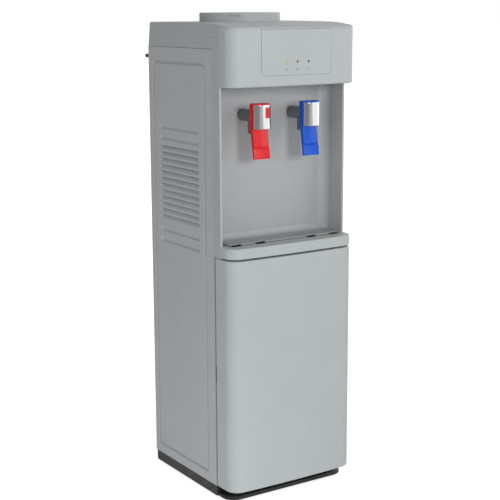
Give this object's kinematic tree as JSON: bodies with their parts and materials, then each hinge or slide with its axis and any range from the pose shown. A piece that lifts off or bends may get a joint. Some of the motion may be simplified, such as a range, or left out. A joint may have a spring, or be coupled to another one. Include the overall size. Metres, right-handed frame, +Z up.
{
  "type": "water dispenser",
  "caption": "Free-standing hot and cold water dispenser with a top bottle seat, a recessed tap bay with drip tray and a storage cabinet below.",
  "frame": {"origin": "on the floor, in the middle of the overall width and depth", "axes": "+Z up, the front with the taps faces -Y, +X is the viewer's right"},
  "size_m": [0.31, 0.3599, 1.0095],
  "materials": {
    "silver_plastic": "satin silver-grey paint on moulded plastic",
    "grey_sheet": "satin grey powder coat",
    "recess_grey": "smooth grey moulded plastic",
    "tray_grey": "dull dark grey moulded plastic",
    "dark_plastic": "dark moulded plastic",
    "red_plastic": "glossy red moulded plastic",
    "blue_plastic": "glossy blue moulded plastic",
    "chrome": "chrome plate on plastic",
    "stainless_steel": "plain stainless sheet",
    "zinc_steel": "dull zinc-coated sheet",
    "black_enamel": "black enamel",
    "copper": "bare copper",
    "white_foam": "expanded foam",
    "white_plastic": "white moulded plastic",
    "silicone_hose": "milky silicone",
    "black_rubber": "black rubber",
    "circuit_board": "green circuit board",
    "green_lamp": "clear green lamp",
    "red_lamp": "clear red lamp",
    "dark_lamp": "dark unlit lamp"
  },
  "bodies": {
    "cabinet": {"plinth": "dark_plastic", "foot_front_left": "black_rubber", "foot_front_right": "black_rubber", "foot_rear_left": "black_rubber", "foot_rear_right": "black_rubber", "side_panel_left": "grey_sheet", "side_panel_right": "grey_sheet", "rear_panel": "zinc_steel", "rear_stud_left": "dark_plastic", "rear_stud_right": "dark_plastic", "top_cover": "silver_plastic", "header_cover": "silver_plastic", "indicator_panel": "silver_plastic", "lamp_power": "green_lamp", "lamp_heating": "red_lamp", "lamp_cooling": "dark_lamp", "indicator_board": "circuit_board", "recess_panel": "recess_grey", "door_frame": "silver_plastic", "cabinet_liner": "white_plastic", "tray_shelf": "silver_plastic", "door_catch": "dark_plastic", "hinge_lower": "zinc_steel", "hinge_upper": "zinc_steel", "hot_tap_body": "dark_plastic", "cold_tap_body": "dark_plastic", "tank_shelf": "zinc_steel", "tank_cradle": "zinc_steel", "cold_tank": "stainless_steel", "evaporator_coil": "copper", "foam_jacket": "white_foam", "hot_tank": "stainless_steel", "heater_band": "zinc_steel", "cold_hose": "silicone_hose", "hot_hose": "silicone_hose", "link_hose": "silicone_hose", "drain_hose": "silicone_hose", "compressor": "black_enamel", "condenser_tube": "black_enamel", "condenser_grid": "black_enamel", "discharge_line": "copper", "suction_line": "copper", "filter_drier": "copper", "switch_plate": "dark_plastic", "cord_gland": "dark_plastic", "drain_port": "white_plastic"},
    "door": {"cabinet_door": "silver_plastic", "door_liner": "white_plastic"},
    "hot_lever": {"hot_lever": "red_plastic", "hot_lever_cap": "chrome"},
    "child_lock": {"child_lock": "red_plastic"},
    "cold_lever": {"cold_lever": "blue_plastic", "cold_lever_cap": "chrome"},
    "drip_tray": {"drip_tray": "tray_grey"},
    "drip_plate": {"drip_plate": "tray_grey"},
    "bottle_seat": {"bottle_seat": "silver_plastic", "guard_spike": "white_plastic"},
    "hot_switch": {"hot_switch": "red_plastic"},
    "cold_switch": {"cold_switch": "blue_plastic"},
    "drain_plug": {"drain_plug": "black_rubber"}
  },
  "joints": [
    {"name": "door_hinge", "type": "hinge", "parent": "cabinet", "child": "door", "pos_m": [0.147, -0.121, 0.27315], "axis": [0, 0, 1], "range_deg": [0, 110]},
    {"name": "hot_lever_pivot", "type": "hinge", "parent": "cabinet", "child": "hot_lever", "pos_m": [-0.0615, -0.1325, 0.812], "axis": [1, 0, 0], "range_deg": [0, 15], "stiffness_Nm_per_rad": 0.5, "springref_deg": -5.73},
    {"name": "cold_lever_pivot", "type": "hinge", "parent": "cabinet", "child": "cold_lever", "pos_m": [0.0615, -0.1325, 0.812], "axis": [1, 0, 0], "range_deg": [0, 15], "stiffness_Nm_per_rad": 0.5, "springref_deg": -5.73},
    {"name": "child_lock_press", "type": "slide", "parent": "hot_lever", "child": "child_lock", "axis": [0, 1, 0], "range_m": [0, 0.0018], "stiffness_N_per_m": 400, "springref_m": -0.001},
    {"name": "drip_tray_lift", "type": "slide", "parent": "cabinet", "child": "drip_tray", "axis": [0, 0, 1], "range_m": [0, 0.03]},
    {"name": "drip_plate_lift", "type": "slide", "parent": "drip_tray", "child": "drip_plate", "axis": [0, 0, 1], "range_m": [0, 0.02]},
    {"name": "bottle_seat_lift", "type": "slide", "parent": "cabinet", "child": "bottle_seat", "axis": [0, 0, 1], "range_m": [0, 0.05]},
    {"name": "hot_switch_rock", "type": "hinge", "parent": "cabinet", "child": "hot_switch", "pos_m": [-0.022, 0.1543, 0.872], "axis": [1, 0, 0], "range_deg": [0, 16]},
    {"name": "cold_switch_rock", "type": "hinge", "parent": "cabinet", "child": "cold_switch", "pos_m": [0.022, 0.1543, 0.872], "axis": [1, 0, 0], "range_deg": [0, 16]},
    {"name": "drain_plug_pull", "type": "slide", "parent": "cabinet", "child": "drain_plug", "axis": [0, 1, 0], "range_m": [0, 0.02]}
  ]
}
